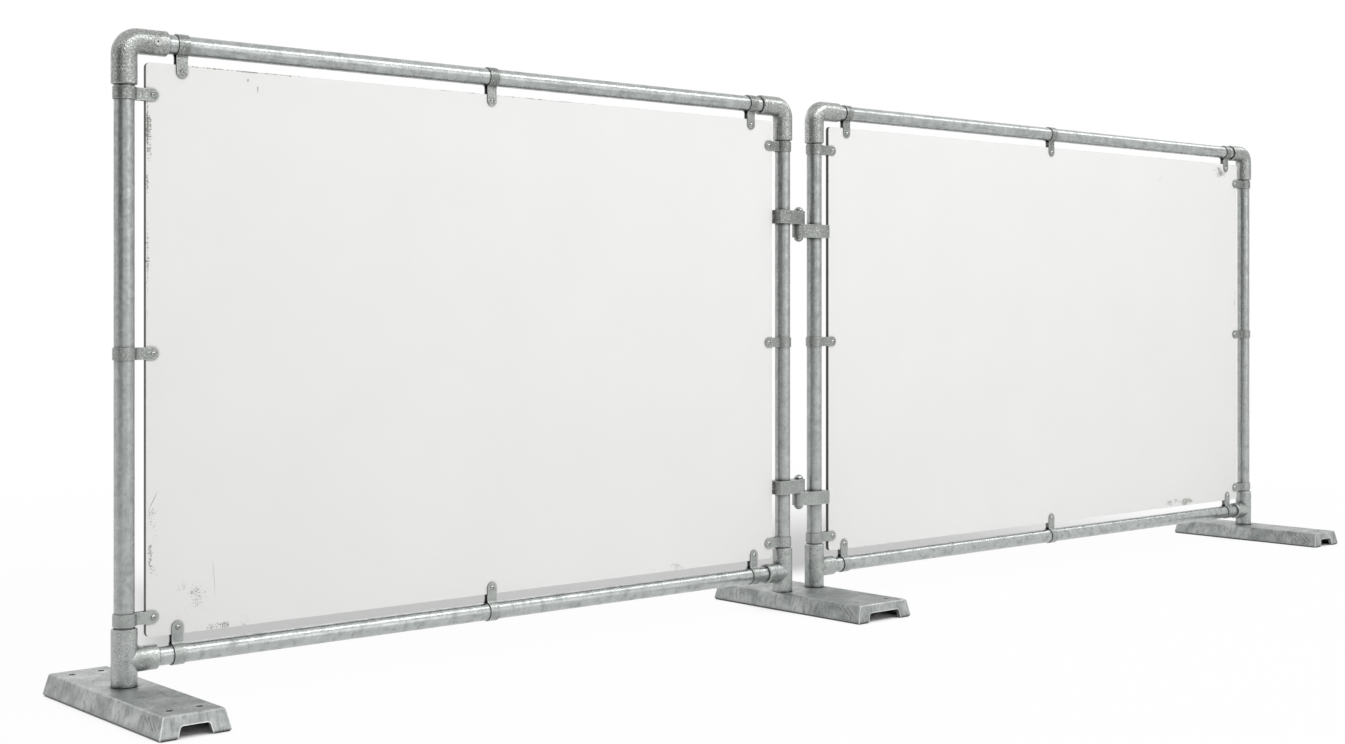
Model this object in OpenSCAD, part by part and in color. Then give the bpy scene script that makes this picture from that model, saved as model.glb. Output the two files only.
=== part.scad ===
// Temporary hoarding fence: two bays of clamped steel tube, each with a white board held off
// the tubes by clips, joined by two pinned couplers and standing on three low feet.
//
// +X runs along the fence, +Z is up, and -Y is the face that the screw heads show on.
// The origin is on the ground, halfway along the fence and in the middle of the feet's length.
// Sizes are millimetres.

/* [Fence] */
// Left bay, from post axis to post axis
left_bay_w = 2200; // [1200:10:3400]
// Right bay, from post axis to post axis
right_bay_w = 2550; // [1200:10:3400]
// The two neighbouring posts over the middle foot, axis to axis
post_gap = 144; // [112:1:180]
// Bottom rail axis to top rail axis
frame_h = 1476; // [900:1:2400]

/* [Tube] */
// Outside diameter of the posts and rails
tube_d = 48.3; // [40:0.1:60]
// Wall of the posts and rails
tube_wall = 3.2; // [2:0.1:5]

/* [Fittings] */
// Gap round a tube in a fitting, a clip, a link or on a spigot
fit_gap = 0.3; // [0.2:0.05:0.6]
// Wall of the cast elbows and tees
fitting_wall = 6.5; // [5:0.1:9]
// Chamfer round the mouth of a socket
rim_chamfer = 2.5; // [1:0.1:4]
// Radius in the inner corner of an elbow
elbow_corner_r = 3; // [1:0.5:20]
// Straight part of an elbow's socket, beyond the bend
elbow_socket = 72; // [66:1:110]
// Depth that a tube goes into an elbow
elbow_depth = 60; // [45:1:62]
// Height of a tee above its branch
tee_above = 45; // [40:1:90]
// Height of a tee below its branch
tee_below = 31; // [24:1:90]
// Length of a tee's branch beyond its body
tee_branch = 49; // [40:1:90]
// Gap inside a tee between the post and the rail's end
tee_rail_gap = 8; // [2:1:12]

/* [Grub screws] */
// Diameter of a grub screw
grub_d = 10; // [6:1:12]
// Distance of a grub screw from the mouth of its socket
grub_from_rim = 34; // [18:1:36]
// Diameter of the raised boss round a grub screw
grub_boss_d = 20; // [16:1:24]
// Height of that boss above the fitting
grub_boss_h = 1.2; // [0.5:0.1:3]
// Width across the flats of a grub screw's socket
grub_key = 5; // [3:0.5:6]

/* [Board] */
// Thickness of a board
board_t = 12; // [6:1:20]
// Gap between a rail and the edge of the board
board_gap = 24; // [18:1:60]
// Gap between a post and the board of the left bay
left_side_gap = 28; // [18:1:60]
// Gap between a post and the board of the right bay
right_side_gap = 36; // [18:1:60]
// Corner radius of a board
board_corner_r = 12; // [4:1:30]

/* [Clips] */
// Width of a clip along its tube
clip_w = 30; // [20:1:40]
// Thickness of a clip's strap
clip_t = 3; // [2:0.1:5]
// Inside radius of the bend between a clip's band and its tab
clip_bend_r = 6; // [3:0.5:10]
// Distance of a clip's screw from the edge of the board
clip_inset = 17; // [12:1:40]
// Bare tube between an elbow's mouth and the clip on the top rail
top_clip_gap = 24; // [2:1:80]
// Bare tube between a tee's mouth and the clip on the bottom rail
bottom_clip_gap = 38; // [2:1:80]
// How far a rail's middle clip stands left of the middle of the bay
middle_clip_shift = 35; // [0:1:100]
// Bare tube between a socket's mouth and the clip on a post
post_clip_gap = 5; // [2:1:60]
// How far a post's middle clip stands below the middle of the frame
middle_clip_drop = 9; // [0:1:100]

/* [Clip screws] */
// Diameter of a clip's screw
screw_d = 8; // [5:1:10]
// Diameter of its domed head
screw_head_d = 14; // [13:0.5:20]
// Height of its domed head
screw_head_h = 4.4; // [3:0.1:6]
// Width across the flats of the socket in the head
screw_key = 5; // [3:0.5:6]
// Width across the flats of the nut
nut_af = 13; // [13:0.5:19]
// Height of the nut
nut_h = 6.5; // [4:0.1:9]
// Thread that stands out of the nut
screw_end = 3; // [1:0.5:8]

/* [Couplers] */
// Height of the lower coupler above the bottom rail's axis
lower_coupler_z = 248; // [180:1:400]
// Depth of the upper coupler below the top rail's axis
upper_coupler_z = 370; // [220:1:400]
// Height of one link
link_h = 42; // [30:1:60]
// Wall of a link round its post
link_wall = 8.5; // [6:0.5:14]
// How far a link's squared end reaches beyond that wall
link_end = 10; // [4:0.5:14]
// Corner radius of that end
link_corner_r = 10; // [2:0.5:16]
// Wall of a link round its pin
link_eye_wall = 12; // [6:0.1:14]
// Diameter of the pin
pin_d = 16; // [12:1:20]
// Diameter of the pin's domed head and nut
pin_head_d = 28; // [26:1:36]
// Height of the pin's domed head and nut
pin_head_h = 14; // [10:1:20]
// Edge of the head and nut, below the dome
pin_head_edge = 5; // [2:0.5:8]

/* [Feet] */
// Height of a foot
foot_h = 54; // [44:1:90]
// Length of a foot's top, across the fence
foot_l = 630; // [400:1:900]
// How far the posts stand behind the middle of their feet
foot_setback = 50; // [0:5:80]
// Width of the top of the left and the right foot
end_foot_w = 150; // [130:1:240]
// Rim of the middle foot's top beside its two tees
foot_margin = 1; // [1:0.5:40]
// How far each long side slopes outwards
foot_side_slope = 14; // [4:1:30]
// How far each end slopes outwards
foot_end_slope = 8; // [2:1:30]
// Bevel round a foot's top
foot_bevel = 2.5; // [1:0.5:5]
// Radius along the bottom edge of a foot's sides and ends
foot_toe_r = 6; // [2:0.5:8]
// Thickness of a foot's top plate
foot_plate = 14; // [8:1:20]
// Thickness of a foot's sides
foot_wall = 12; // [8:1:20]
// Width of the leg on each side of the notch in a foot's end
foot_leg = 46; // [30:1:60]
// Height of that notch
notch_h = 28; // [15:1:28]
// How far each side of the notch slopes inwards
notch_slope = 8; // [2:1:15]
// Corner radius of the notch
notch_r = 9; // [3:1:12]
// Diameter of the four holes in a foot
foot_hole_d = 18; // [10:1:24]
// Distance of a hole from the end of the foot's top
foot_hole_end = 50; // [40:1:90]
// Distance of a hole from the side of the foot's top
foot_hole_side = 38; // [35:1:60]
// Height of a spigot above the foot
spigot_h = 90; // [60:1:200]
// Chamfer at the top of a spigot
spigot_chamfer = 3; // [1:0.5:6]
// Thickness of the ribs under the top plate
rib_t = 10; // [6:1:16]
// Distance of the outer ribs from the posts
rib_offset = 150; // [90:1:180]

/* [Hidden] */
$fn = 64;
// Overshoot of a cut through a face
cut = 1;
// Depth that a fillet's circle dips into the two shapes that it joins
fillet_dip = 0.02;

tube_r = tube_d / 2;
bore_r = tube_r - tube_wall;
socket_r = tube_r + fit_gap;
fitting_r = socket_r + fitting_wall;
elbow_bend_r = fitting_r + elbow_corner_r;
elbow_arm = elbow_bend_r + elbow_socket;
elbow_stop = elbow_arm - elbow_depth;
tee_top = fitting_r + tee_above;
tee_bottom = fitting_r + tee_below;
tee_reach = fitting_r + tee_branch;
rail_stop = tube_r + tee_rail_gap;

fence_w = left_bay_w + post_gap + right_bay_w;
left_outer_x = -fence_w / 2;
left_inner_x = left_outer_x + left_bay_w;
right_inner_x = left_inner_x + post_gap;
right_outer_x = fence_w / 2;
middle_x = (left_inner_x + right_inner_x) / 2;
post_y = foot_setback;

bottom_rail_z = foot_h + tee_bottom;
top_rail_z = bottom_rail_z + frame_h;
middle_z = (bottom_rail_z + top_rail_z) / 2;

board_edge = tube_r + board_gap;
left_board_edge = tube_r + left_side_gap;
right_board_edge = tube_r + right_side_gap;
top_clip_x = elbow_arm + top_clip_gap + clip_w / 2;
bottom_clip_x = tee_reach + bottom_clip_gap + clip_w / 2;
middle_clip_z = middle_z - middle_clip_drop;
post_clip_top = elbow_arm + post_clip_gap + clip_w / 2;
post_clip_bottom = tee_top + post_clip_gap + clip_w / 2;
clip_face = board_t / 2 + clip_t;
screw_hole_r = screw_d / 2 + fit_gap;
screw_l = board_t + 2 * clip_t + nut_h + screw_end;
nut_bore_r = screw_d / 2 + fit_gap / 2;

link_r = socket_r + link_wall;
link_outer = link_r + link_end;
pin_hole_r = pin_d / 2 + fit_gap;
link_eye_r = pin_hole_r + link_eye_wall;
pin_reach = post_gap / 2;
couplers = [bottom_rail_z + lower_coupler_z, top_rail_z - upper_coupler_z];

middle_foot_w = post_gap + 2 * (fitting_r + foot_margin);
spigot_r = bore_r - fit_gap;

zinc = "#a9aeae";
cast_zinc = "#8e9393";
bright_zinc = "#c3c7c7";
board_white = "#e6e6e3";

// Mirrors a piece that reaches along +X so that it reaches along -X where side is -1
module facing(side) {
    mirror([side > 0 ? 0 : 1, 0, 0]) children();
}

// ---- tubes ----

// A tube along +Z, open at both ends
module tube(length) {
    color(zinc)
    difference() {
        cylinder(r = tube_r, h = length);
        translate([0, 0, -cut]) cylinder(r = bore_r, h = length + 2 * cut);
    }
}

// A post stands on its foot and ends at the stop in its elbow
module post(x) {
    translate([x, post_y, foot_h]) tube(top_rail_z - elbow_stop - foot_h);
}

// A rail from stop to stop between the posts at x1 and x2
module rail(x1, x2, z, stop) {
    translate([x1 + stop, post_y, z]) rotate([0, 90, 0]) tube(x2 - x1 - 2 * stop);
}

// ---- cast fittings ----

// A round bar along +Z with a chamfer at its far end
module rimmed_bar(r, length, chamfer) {
    rotate_extrude()
        polygon([[0, 0], [r, 0], [r, length - chamfer], [r - chamfer, length], [0, length]]);
}

// A quarter bend in the XY plane that joins an arm along +X to an arm along +Y
module bend(r) {
    translate([elbow_bend_r, elbow_bend_r, 0])
        rotate([0, 0, 180])
            rotate_extrude(angle = 90) translate([elbow_bend_r, 0]) circle(r = r);
}

// The boss of a grub screw, from the axis of its socket out along +Z
module grub_boss() {
    cylinder(d = grub_boss_d, h = fitting_r + grub_boss_h);
}

// The threaded hole of a grub screw, from its socket out along +Z
module grub_hole(wall_r) {
    cylinder(r = grub_d / 2 + fit_gap / 2, h = wall_r + grub_boss_h + cut);
}

// A grub screw along +Z that bears on the tube, with a hexagon socket in its outer end
module grub_screw(wall_r) {
    length = wall_r - socket_r;
    color(bright_zinc)
    translate([0, 0, socket_r])
        difference() {
            cylinder(d = grub_d, h = length);
            translate([0, 0, length / 2]) cylinder(d = grub_key / cos(30), h = length, $fn = 6);
        }
}

// Places something at an elbow's two grub screws: the rail's is at the front where face is -1
// and at the rear where it is 1, and the post's is at the rear
module at_elbow_grubs(face) {
    translate([elbow_arm - grub_from_rim, 0, 0]) rotate([-90 * face, 0, 0]) children();
    translate([0, 0, grub_from_rim - elbow_arm]) rotate([-90, 0, 0]) children();
}

// An elbow with its arms along +X and -Z
module elbow(face) {
    color(cast_zinc)
    difference() {
        union() {
            rotate([-90, 0, 0]) {
                bend(fitting_r);
                translate([elbow_bend_r, 0, 0])
                    rotate([0, 90, 0]) rimmed_bar(fitting_r, elbow_socket, rim_chamfer);
                translate([0, elbow_bend_r, 0])
                    rotate([-90, 0, 0]) rimmed_bar(fitting_r, elbow_socket, rim_chamfer);
            }
            at_elbow_grubs(face) grub_boss();
        }
        rotate([-90, 0, 0]) {
            bend(bore_r);
            translate([elbow_bend_r, 0, 0]) rotate([0, 90, 0]) cylinder(r = bore_r, h = elbow_socket);
            translate([0, elbow_bend_r, 0]) rotate([-90, 0, 0]) cylinder(r = bore_r, h = elbow_socket);
            translate([elbow_stop, 0, 0]) rotate([0, 90, 0]) cylinder(r = socket_r, h = elbow_depth + cut);
            translate([0, elbow_stop, 0]) rotate([-90, 0, 0]) cylinder(r = socket_r, h = elbow_depth + cut);
        }
        at_elbow_grubs(face) grub_hole(fitting_r);
    }
}

// Places something at a tee's two grub screws, both at the rear
module at_tee_grubs() {
    translate([0, 0, tee_top - tee_above / 2]) rotate([-90, 0, 0]) children();
    translate([tee_reach - tee_branch / 2, 0, 0]) rotate([-90, 0, 0]) children();
}

// A tee that slides over its post, with its branch along +X
module tee() {
    color(cast_zinc)
    difference() {
        union() {
            rimmed_bar(fitting_r, tee_top, rim_chamfer);
            rotate([180, 0, 0]) rimmed_bar(fitting_r, tee_bottom, rim_chamfer / 2);
            rotate([0, 90, 0]) rimmed_bar(fitting_r, tee_reach, rim_chamfer);
            at_tee_grubs() grub_boss();
        }
        translate([0, 0, -tee_bottom - cut]) cylinder(r = socket_r, h = tee_top + tee_bottom + 2 * cut);
        rotate([0, 90, 0]) cylinder(r = socket_r, h = tee_reach + cut);
        at_tee_grubs() grub_hole(fitting_r);
    }
}

// The grub screws of a bay's fittings; the left elbow's rail screw may face the front
module bay_grub_screws(x1, x2, face) {
    translate([x1, post_y, top_rail_z]) at_elbow_grubs(face) grub_screw(fitting_r);
    translate([x2, post_y, top_rail_z]) facing(-1) at_elbow_grubs(1) grub_screw(fitting_r);
    translate([x1, post_y, bottom_rail_z]) at_tee_grubs() grub_screw(fitting_r);
    translate([x2, post_y, bottom_rail_z]) facing(-1) at_tee_grubs() grub_screw(fitting_r);
}

// ---- boards ----

// A rectangle with round corners, from the origin
module rounded_rectangle(w, h, r) {
    translate([r, 0]) square([w - 2 * r, h]);
    translate([0, r]) square([w, h - 2 * r]);
    for (x = [r, w - r], y = [r, h - r]) translate([x, y]) circle(r = r);
}

// A board between the posts at x1 and x2 with its edge that far from their axes, drilled for
// its clips
module board(x1, x2, edge) {
    color(board_white)
    difference() {
        translate([x1 + edge, post_y + board_t / 2, bottom_rail_z + board_edge])
            rotate([90, 0, 0])
                linear_extrude(board_t)
                    rounded_rectangle(x2 - x1 - 2 * edge, frame_h - 2 * board_edge, board_corner_r);
        at_bay_clips(x1, x2, edge) screw_hole();
    }
}

// ---- clips ----

// Every clip sits on its tube, and $reach is the distance from the tube's axis to its screw.

// Places something at the three clips of a rail, the outer ones inset from the posts and its
// tabs along -Z (side 1) or +Z (side -1)
module at_rail_clips(x1, x2, z, side, inset) {
    $reach = board_edge + clip_inset;
    for (x = [x1 + inset, (x1 + x2) / 2 - middle_clip_shift, x2 - inset])
        translate([x, post_y, z]) rotate([0, 90 * side, 0]) children();
}

module at_top_clips(x1, x2) {
    at_rail_clips(x1, x2, top_rail_z, 1, top_clip_x) children();
}

module at_bottom_clips(x1, x2) {
    at_rail_clips(x1, x2, bottom_rail_z, -1, bottom_clip_x) children();
}

// Places something at the three clips of a post, its tabs along +X (side 1) or -X (side -1)
module at_post_clips(x, side, edge) {
    $reach = edge + clip_inset;
    for (z = [bottom_rail_z + post_clip_bottom, middle_clip_z, top_rail_z - post_clip_top])
        translate([x, post_y, z]) facing(side) children();
}

module at_bay_clips(x1, x2, edge) {
    at_top_clips(x1, x2) children();
    at_bottom_clips(x1, x2) children();
    at_post_clips(x1, 1, edge) children();
    at_post_clips(x2, -1, edge) children();
}

// A round of radius r with a bar of the given half height along +X, and a fillet between them
// on each side; the fillet's circle dips a little into both, so that the outline stays clean
module round_with_bar(r, half, fillet, bar_l) {
    centre_y = half + fillet - fillet_dip;
    centre_x = sqrt(pow(r + fillet - fillet_dip, 2) - pow(centre_y, 2));
    circle(r = r);
    translate([0, -half]) square([bar_l, 2 * half]);
    for (side = [0, 1]) mirror([0, side])
        difference() {
            polygon([[0, 0], [centre_x, 0], [centre_x, centre_y]]);
            translate([centre_x, centre_y]) circle(r = fillet);
        }
}

// The strap's outline: a band round the tube that bends out into two tabs along +X
module strap_outline() {
    tab_end = $reach + clip_w / 2;
    difference() {
        round_with_bar(socket_r + clip_t, clip_face, clip_bend_r, tab_end);
        round_with_bar(socket_r, board_t / 2, clip_bend_r + clip_t, tab_end + cut);
    }
}

// The hole for a clip's screw, along Y
module screw_hole() {
    translate([$reach, clip_face + cut, 0])
        rotate([90, 0, 0]) cylinder(r = screw_hole_r, h = 2 * (clip_face + cut));
}

// A clip on a tube along Z: bent strap with round tab ends, drilled for its screw
module clip() {
    color(zinc)
    difference() {
        intersection() {
            translate([0, 0, -clip_w / 2]) linear_extrude(clip_w) strap_outline();
            rotate([90, 0, 0])
                linear_extrude(2 * (socket_r + clip_t) + cut, center = true) {
                    translate([$reach, 0]) circle(r = clip_w / 2);
                    translate([-socket_r - clip_t - cut, -clip_w / 2])
                        square([$reach + socket_r + clip_t + cut, clip_w]);
                }
        }
        screw_hole();
    }
}

// A dome of the given base and height on z = 0, as a half outline to revolve
module dome_outline(r, h) {
    ball_r = (pow(r, 2) + pow(h, 2)) / (2 * h);
    intersection() {
        translate([0, h - ball_r]) circle(r = ball_r);
        square([r, h]);
    }
}

// A screw that holds a clip's tabs on the board, its domed head at the front
module clip_screw() {
    color(bright_zinc)
    translate([$reach, -clip_face, 0]) rotate([90, 0, 0])
        difference() {
            union() {
                rotate_extrude() dome_outline(screw_head_d / 2, screw_head_h);
                translate([0, 0, -screw_l]) cylinder(d = screw_d, h = screw_l + screw_head_h / 2);
            }
            translate([0, 0, screw_head_h / 2])
                cylinder(d = screw_key / cos(30), h = screw_head_h, $fn = 6);
        }
}

// A hexagon nut behind the rear tab, with its corners turned down
module clip_nut() {
    corner_r = nut_af / 2 / cos(30);
    color(bright_zinc)
    translate([$reach, clip_face, 0]) rotate([-90, 0, 0])
        difference() {
            intersection() {
                cylinder(r = corner_r, h = nut_h, $fn = 6);
                rimmed_bar(corner_r, nut_h, corner_r - nut_af / 2);
            }
            translate([0, 0, -cut]) cylinder(r = nut_bore_r, h = nut_h + 2 * cut);
        }
}

// ---- couplers ----

// A link round a post: squared on the side away from the pin, and reaching along +X to the pin
// with straight sides that touch both rounds
module link_outline() {
    lean = acos((link_r - link_eye_r) / pin_reach);
    near = link_r * [cos(lean), sin(lean)];
    far = [pin_reach, 0] + link_eye_r * [cos(lean), sin(lean)];
    corner = [link_corner_r - link_outer, link_r - link_corner_r];
    difference() {
        union() {
            circle(r = link_r);
            translate([pin_reach, 0]) circle(r = link_eye_r);
            polygon([[near.x, -near.y], [far.x, -far.y], far, near]);
            translate([corner.x, -link_r]) square([-corner.x, 2 * link_r]);
            translate([-link_outer, -corner.y]) square([link_outer, 2 * corner.y]);
            for (y = [-corner.y, corner.y]) translate([corner.x, y]) circle(r = link_corner_r);
        }
        circle(r = socket_r);
        translate([pin_reach, 0]) circle(r = pin_hole_r);
    }
}

// Places something at a link's grub screw, on the side away from the pin
module at_link_grub() {
    translate([0, 0, link_h / 2]) rotate([0, -90, 0]) children();
}

module link() {
    color(cast_zinc)
    difference() {
        linear_extrude(link_h) link_outline();
        at_link_grub() grub_hole(link_outer);
    }
    at_link_grub() grub_screw(link_outer);
}

// The left bay's link lies on the right bay's link
module left_link(z) {
    translate([left_inner_x, post_y, z]) link();
}

module right_link(z) {
    translate([right_inner_x, post_y, z - link_h]) facing(-1) link();
}

// The domed end of a pin, on z = 0
module pin_head() {
    rotate_extrude() {
        translate([0, pin_head_edge]) dome_outline(pin_head_d / 2, pin_head_h - pin_head_edge);
        square([pin_head_d / 2, pin_head_edge]);
    }
}

// A pin through both links, with its head above and a domed nut below
module pin(z) {
    thread = pin_head_edge;
    color(bright_zinc)
    translate([middle_x, post_y, z]) {
        translate([0, 0, link_h]) pin_head();
        translate([0, 0, -link_h - thread]) cylinder(d = pin_d, h = 2 * (link_h + thread));
        translate([0, 0, -link_h]) rotate([180, 0, 0])
            difference() {
                pin_head();
                translate([0, 0, -cut]) cylinder(r = pin_hole_r, h = thread + fit_gap + cut);
            }
    }
}

// ---- feet ----

// A block of the given size that has the first child as its outline across X, and the second
// across Y
module crossed_outlines(size) {
    intersection() {
        rotate([90, 0, 0]) linear_extrude(size.y, center = true) children(0);
        rotate([90, 0, 90]) linear_extrude(size.x, center = true) children(1);
    }
}

// Half widths at the top and the bottom, with a bevelled top
module sloped_outline(top, bottom, h) {
    shoulder = top + (bottom - top) * foot_bevel / h;
    polygon([[-bottom, 0], [bottom, 0], [shoulder, h - foot_bevel], [top - foot_bevel, h],
        [foot_bevel - top, h], [-shoulder, h - foot_bevel]]);
}

// The same with a round at each bottom corner that touches the ground and the sloping side
module rounded_outline(top, bottom, h) {
    side = norm([h, bottom - top]);
    shoulder = top + (bottom - top) * foot_bevel / h;
    round_x = bottom - foot_toe_r * (side + bottom - top) / h;
    touch = [round_x + foot_toe_r * h / side, foot_toe_r + foot_toe_r * (bottom - top) / side];
    polygon([[-round_x, 0], [round_x, 0], touch, [shoulder, h - foot_bevel], [top - foot_bevel, h],
        [foot_bevel - top, h], [-shoulder, h - foot_bevel], [-touch.x, touch.y]]);
    for (x = [-round_x, round_x]) translate([x, foot_toe_r]) circle(r = foot_toe_r);
}

// The notch in a foot's end, w wide on the ground: leaning sides with a round in each top corner
module notch_outline(w) {
    side = norm([notch_slope, notch_h]);
    top = w / 2 - notch_slope;
    round_x = top - notch_r * (side - notch_slope) / notch_h;
    touch = [round_x + notch_r * notch_h / side, notch_h - notch_r + notch_r * notch_slope / side];
    polygon([[-w / 2, -cut], [w / 2, -cut], [w / 2, 0], touch, [round_x, notch_h],
        [-round_x, notch_h], [-touch.x, touch.y], [-w / 2, 0]]);
    for (x = [-round_x, round_x]) translate([x, notch_h - notch_r]) circle(r = notch_r);
}

// A spigot that goes up into a post
module spigot() {
    translate([0, 0, foot_h - foot_plate / 2])
        rimmed_bar(spigot_r, spigot_h + foot_plate / 2, spigot_chamfer);
}

// A foot with a top w wide and a spigot at each place in posts, measured from its middle
module foot(x, w, posts) {
    top = [w, foot_l];
    bottom = top + 2 * [foot_side_slope, foot_end_slope];
    inner_top = top - 2 * foot_wall * [1, 1];
    inner_bottom = bottom - 2 * foot_wall * [1, 1];
    hole = top / 2 - [foot_hole_side, foot_hole_end];
    cavity_h = foot_h - foot_plate;
    color(zinc)
    translate([x, 0, 0]) {
        difference() {
            crossed_outlines(bottom) {
                rounded_outline(top.x / 2, bottom.x / 2, foot_h);
                rounded_outline(top.y / 2, bottom.y / 2, foot_h);
            }
            difference() {
                translate([0, 0, -cut]) crossed_outlines(bottom) {
                    sloped_outline(inner_top.x / 2, inner_bottom.x / 2, cavity_h + cut);
                    sloped_outline(inner_top.y / 2, inner_bottom.y / 2, cavity_h + cut);
                }
                for (y = [-rib_offset, 0, rib_offset])
                    translate([-w / 2, post_y + y - rib_t / 2, notch_h]) cube([w, rib_t, foot_h]);
            }
            rotate([90, 0, 0]) linear_extrude(bottom.y + cut, center = true)
                notch_outline(bottom.x - 2 * foot_leg);
            for (sx = [-1, 1], sy = [-1, 1])
                translate([sx * hole.x, sy * hole.y, 0]) cylinder(d = foot_hole_d, h = foot_h + cut);
        }
        for (place = posts) translate([place, post_y, 0]) spigot();
    }
}

// ---- sub-parts ----

module left_outer_post() { post(left_outer_x); }
module left_inner_post() { post(left_inner_x); }
module left_top_rail() { rail(left_outer_x, left_inner_x, top_rail_z, elbow_stop); }
module left_bottom_rail() { rail(left_outer_x, left_inner_x, bottom_rail_z, rail_stop); }
module left_outer_elbow() { translate([left_outer_x, post_y, top_rail_z]) elbow(-1); }
module left_inner_elbow() { translate([left_inner_x, post_y, top_rail_z]) facing(-1) elbow(1); }
module left_outer_tee() { translate([left_outer_x, post_y, bottom_rail_z]) tee(); }
module left_inner_tee() { translate([left_inner_x, post_y, bottom_rail_z]) facing(-1) tee(); }
module left_board() { board(left_outer_x, left_inner_x, left_board_edge); }
module left_top_clips() { at_top_clips(left_outer_x, left_inner_x) clip(); }
module left_bottom_clips() { at_bottom_clips(left_outer_x, left_inner_x) clip(); }
module left_outer_clips() { at_post_clips(left_outer_x, 1, left_board_edge) clip(); }
module left_inner_clips() { at_post_clips(left_inner_x, -1, left_board_edge) clip(); }
module left_clip_screws() { at_bay_clips(left_outer_x, left_inner_x, left_board_edge) clip_screw(); }
module left_clip_nuts() { at_bay_clips(left_outer_x, left_inner_x, left_board_edge) clip_nut(); }
module left_grub_screws() { bay_grub_screws(left_outer_x, left_inner_x, -1); }

module right_outer_post() { post(right_outer_x); }
module right_inner_post() { post(right_inner_x); }
module right_top_rail() { rail(right_inner_x, right_outer_x, top_rail_z, elbow_stop); }
module right_bottom_rail() { rail(right_inner_x, right_outer_x, bottom_rail_z, rail_stop); }
module right_outer_elbow() { translate([right_outer_x, post_y, top_rail_z]) facing(-1) elbow(1); }
module right_inner_elbow() { translate([right_inner_x, post_y, top_rail_z]) elbow(1); }
module right_outer_tee() { translate([right_outer_x, post_y, bottom_rail_z]) facing(-1) tee(); }
module right_inner_tee() { translate([right_inner_x, post_y, bottom_rail_z]) tee(); }
module right_board() { board(right_inner_x, right_outer_x, right_board_edge); }
module right_top_clips() { at_top_clips(right_inner_x, right_outer_x) clip(); }
module right_bottom_clips() { at_bottom_clips(right_inner_x, right_outer_x) clip(); }
module right_outer_clips() { at_post_clips(right_outer_x, -1, right_board_edge) clip(); }
module right_inner_clips() { at_post_clips(right_inner_x, 1, right_board_edge) clip(); }
module right_clip_screws() { at_bay_clips(right_inner_x, right_outer_x, right_board_edge) clip_screw(); }
module right_clip_nuts() { at_bay_clips(right_inner_x, right_outer_x, right_board_edge) clip_nut(); }
module right_grub_screws() { bay_grub_screws(right_inner_x, right_outer_x, 1); }

module lower_left_link() { left_link(couplers[0]); }
module lower_right_link() { right_link(couplers[0]); }
module lower_pin() { pin(couplers[0]); }
module upper_left_link() { left_link(couplers[1]); }
module upper_right_link() { right_link(couplers[1]); }
module upper_pin() { pin(couplers[1]); }

module left_foot() { foot(left_outer_x, end_foot_w, [0]); }
module middle_foot() { foot(middle_x, middle_foot_w, [-post_gap / 2, post_gap / 2]); }
module right_foot() { foot(right_outer_x, end_foot_w, [0]); }

left_outer_post();
left_inner_post();
left_top_rail();
left_bottom_rail();
left_outer_elbow();
left_inner_elbow();
left_outer_tee();
left_inner_tee();
left_board();
left_top_clips();
left_bottom_clips();
left_outer_clips();
left_inner_clips();
left_clip_screws();
left_clip_nuts();
left_grub_screws();
right_outer_post();
right_inner_post();
right_top_rail();
right_bottom_rail();
right_outer_elbow();
right_inner_elbow();
right_outer_tee();
right_inner_tee();
right_board();
right_top_clips();
right_bottom_clips();
right_outer_clips();
right_inner_clips();
right_clip_screws();
right_clip_nuts();
right_grub_screws();
lower_left_link();
lower_right_link();
lower_pin();
upper_left_link();
upper_right_link();
upper_pin();
left_foot();
middle_foot();
right_foot();
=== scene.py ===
# %% [markdown]
# # A temporary hoarding fence
# Two bays of galvanised scaffold tube stand on three cast feet, each with a white board held
# inside it by bent steel clips. The steelwork arrives from the CAD model as named pieces in their
# places. This lesson gives it a camera, a studio, its finishes, and the threads, which are too
# fine for CAD.

# %% Load the fence
import bpy
import bmesh
import math
from mathutils import Matrix, Vector


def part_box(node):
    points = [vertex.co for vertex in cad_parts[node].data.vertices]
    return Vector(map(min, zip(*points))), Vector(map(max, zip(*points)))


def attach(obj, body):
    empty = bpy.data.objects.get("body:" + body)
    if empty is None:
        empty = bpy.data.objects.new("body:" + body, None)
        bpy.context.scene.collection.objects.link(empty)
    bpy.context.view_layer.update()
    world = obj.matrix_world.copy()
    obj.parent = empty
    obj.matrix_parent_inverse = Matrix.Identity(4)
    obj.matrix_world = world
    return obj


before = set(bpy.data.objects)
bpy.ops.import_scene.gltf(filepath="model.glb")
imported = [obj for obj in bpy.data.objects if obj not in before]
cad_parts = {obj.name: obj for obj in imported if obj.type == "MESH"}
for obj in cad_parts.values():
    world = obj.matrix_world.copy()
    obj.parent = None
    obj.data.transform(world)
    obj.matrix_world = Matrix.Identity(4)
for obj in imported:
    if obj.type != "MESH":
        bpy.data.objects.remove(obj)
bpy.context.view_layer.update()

# %% [markdown]
# ## The camera
# The eye stands in front of the left end, a metre above the ground, and looks along the fence
# towards its far end. It is held level, so that the posts are seen upright, and the lens is
# shifted down a little instead of being tipped, as an architect's camera does.

# %% Camera
EYE = (-4.3025, -4.0468, 0.9552)
HEADING = -41.23  # degrees; 0 would look straight at the boards
LENS_MM, SENSOR_MM, SHIFT = 48.42, 36, -0.04792

lens = bpy.data.cameras.new("level_lens")
lens.sensor_width = SENSOR_MM
lens.lens = LENS_MM
lens.shift_y = SHIFT
camera = bpy.data.objects.new("camera_at_left_end", lens)
camera.location = EYE
camera.rotation_euler = (math.radians(90), 0, math.radians(HEADING))
bpy.context.scene.collection.objects.link(camera)
bpy.context.scene.camera = camera
print("eye height, m:", round(camera.location.z, 3))

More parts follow.
